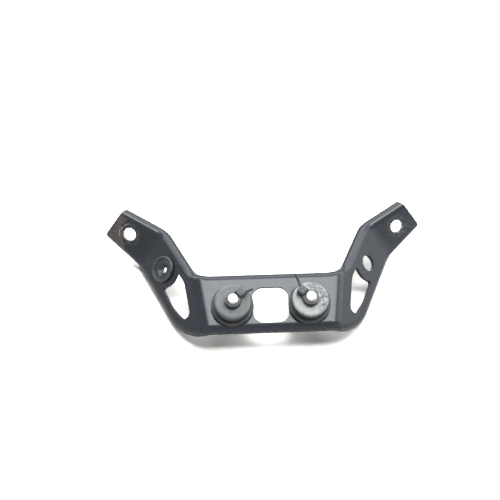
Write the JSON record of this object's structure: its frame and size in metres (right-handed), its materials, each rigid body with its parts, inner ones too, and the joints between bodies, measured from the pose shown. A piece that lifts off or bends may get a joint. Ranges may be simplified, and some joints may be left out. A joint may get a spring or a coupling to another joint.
{
  "type": "fuel tank bracket",
  "caption": "Black pressed-steel fuel tank bracket with bent wings and mounting ears, rubber dampers with upright bolts held by cable ties, and a small wing grommet.",
  "frame": {"origin": "midway between the two tank bolts, on the top face of the flat plate", "axes": "+Z along the tank bolts, out of the plate's face; +X towards the right wing; +Y towards the plate edge that the ears rise above"},
  "size_m": [0.1716, 0.0774, 0.0415],
  "materials": {
    "black_paint": "semi-gloss",
    "rubber": "matt",
    "zinc_steel": "satin",
    "nylon": "matt"
  },
  "bodies": {
    "root": {"bracket_plate": "black_paint", "damper_left": "rubber", "damper_right": "rubber", "collar_left": "zinc_steel", "collar_right": "zinc_steel", "bolt_left": "zinc_steel", "bolt_right": "zinc_steel", "cable_tie_left": "nylon", "cable_tie_right": "nylon", "wing_grommet": "rubber"}
  },
  "joints": []
}
